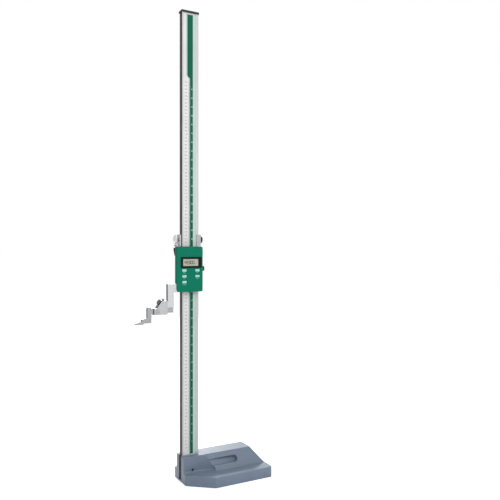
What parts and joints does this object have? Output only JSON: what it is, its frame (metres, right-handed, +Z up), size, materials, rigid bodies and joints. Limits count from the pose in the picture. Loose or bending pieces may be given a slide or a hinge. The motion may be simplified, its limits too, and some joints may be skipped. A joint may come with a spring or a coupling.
{
  "type": "height gauge",
  "caption": "Tall digital height gauge with a heavy grey base, printed column scale, green display head, fine-adjust carriage and carbide-tipped scriber.",
  "frame": {"origin": "on the floor plane under the middle of the column", "axes": "+Z up the column, +X along the base away from the scriber, -Y towards the side that carries the scale and display"},
  "size_m": [0.397, 0.196, 1.353],
  "materials": {
    "casting_paint": "semi-gloss blue-grey enamel",
    "ground_steel": "ground",
    "clamp_steel": "satin",
    "tool_steel": "fine ground",
    "carbide": "fine ground",
    "strip_print": "matt print",
    "black_paint": "satin black",
    "oxide_steel": "black oxide",
    "bright_steel": "bright",
    "brass_parts": "machined",
    "green_plastic": "fine texture",
    "dark_plastic": "fine texture",
    "soft_rubber": "matt",
    "display_glass": "clear",
    "display_grey": "matt",
    "board_green": "solder mask",
    "key_plastic": "satin"
  },
  "bodies": {
    "base": {"base_casting": "casting_paint", "column_set_screws": "oxide_steel", "beam": "ground_steel", "scale_strip": "strip_print", "top_cap": "black_paint", "cap_screws": "oxide_steel"},
    "carriage": {"carriage_block": "ground_steel", "clamp_pad": "brass_parts", "drag_pad": "brass_parts"},
    "carriage_clamp": {"carriage_clamp_screw": "bright_steel"},
    "drag_knob": {"drag_screw": "oxide_steel"},
    "fine_adjuster": {"fine_adjust_screw": "bright_steel", "fine_adjust_knob": "black_paint", "screw_clip": "bright_steel"},
    "slider": {"slider_frame": "ground_steel", "slider_cover": "ground_steel", "cover_screws": "oxide_steel", "slider_gib": "brass_parts", "gib_screws": "oxide_steel", "housing_shell": "green_plastic", "housing_rear_plate": "dark_plastic", "housing_screws": "oxide_steel", "plate_screws": "oxide_steel", "display_bezel": "dark_plastic", "display_glass": "display_glass", "display_panel": "display_grey", "circuit_board": "board_green", "sensor_board": "board_green", "measuring_arm": "ground_steel", "arm_screws": "oxide_steel", "scriber_clamp": "clamp_steel", "lock_screw": "oxide_steel"},
    "slider_clamp": {"slider_clamp_screw": "oxide_steel"},
    "battery": {"battery_tray": "green_plastic", "coin_cell": "bright_steel"},
    "port_plug": {"port_cover": "soft_rubber"},
    "thumb_screw": {"thumb_screw": "bright_steel"},
    "scriber": {"scriber": "tool_steel", "scriber_tip": "carbide"},
    "key_zero": {"key_zero": "key_plastic"},
    "key_unit": {"key_unit": "key_plastic"},
    "key_power": {"key_power": "key_plastic"},
    "key_preset": {"key_preset": "key_plastic"},
    "key_hold": {"key_hold": "key_plastic"}
  },
  "joints": [
    {"name": "column_travel", "type": "slide", "parent": "base", "child": "carriage", "axis": [0, 0, 1], "range_m": [-0.455, 0.541]},
    {"name": "fine_adjust", "type": "slide", "parent": "carriage", "child": "slider", "axis": [0, 0, 1], "range_m": [-0.003, 0.003]},
    {"name": "fine_knob_turn", "type": "hinge", "parent": "carriage", "child": "fine_adjuster", "pos_m": [-0.038, 0, 0.659], "axis": [0, 0, 1], "range_deg": [-1090, 1090]},
    {"name": "carriage_clamp_turn", "type": "hinge", "parent": "carriage", "child": "carriage_clamp", "pos_m": [-0.038, 0, 0.694], "axis": [-1, 0, 0], "range_deg": [-180, 180]},
    {"name": "drag_knob_turn", "type": "hinge", "parent": "carriage", "child": "drag_knob", "pos_m": [0.036, 0, 0.694], "axis": [1, 0, 0], "range_deg": [-180, 180]},
    {"name": "slider_clamp_turn", "type": "hinge", "parent": "slider", "child": "slider_clamp", "pos_m": [0.04, 0, 0.61], "axis": [1, 0, 0], "range_deg": [-180, 180]},
    {"name": "thumb_screw_turn", "type": "hinge", "parent": "slider", "child": "thumb_screw", "pos_m": [-0.0955, -0.024, 0.51556], "axis": [-0.809, 0, 0.5878], "range_deg": [-360, 360]},
    {"name": "scriber_slide", "type": "slide", "parent": "slider", "child": "scriber", "axis": [1, 0, 0], "range_m": [-0.012, 0.005]},
    {"name": "battery_slide", "type": "slide", "parent": "slider", "child": "battery", "axis": [0, 0, -1], "range_m": [0, 0.026]},
    {"name": "port_plug_slide", "type": "slide", "parent": "slider", "child": "port_plug", "axis": [1, 0, 0], "range_m": [0, 0.006]},
    {"name": "key_zero_press", "type": "slide", "parent": "slider", "child": "key_zero", "axis": [0, 1, 0], "range_m": [0, 0.0007], "stiffness_N_per_m": 1500},
    {"name": "key_unit_press", "type": "slide", "parent": "slider", "child": "key_unit", "axis": [0, 1, 0], "range_m": [0, 0.0007], "stiffness_N_per_m": 1500},
    {"name": "key_power_press", "type": "slide", "parent": "slider", "child": "key_power", "axis": [0, 1, 0], "range_m": [0, 0.0007], "stiffness_N_per_m": 1500},
    {"name": "key_preset_press", "type": "slide", "parent": "slider", "child": "key_preset", "axis": [0, 1, 0], "range_m": [0, 0.0007], "stiffness_N_per_m": 1500},
    {"name": "key_hold_press", "type": "slide", "parent": "slider", "child": "key_hold", "axis": [0, 1, 0], "range_m": [0, 0.0007], "stiffness_N_per_m": 1500}
  ],
  "couplings": [
    {"joint": "fine_knob_turn", "follows": "fine_adjust", "rad_per_m": 6283.2}
  ]
}
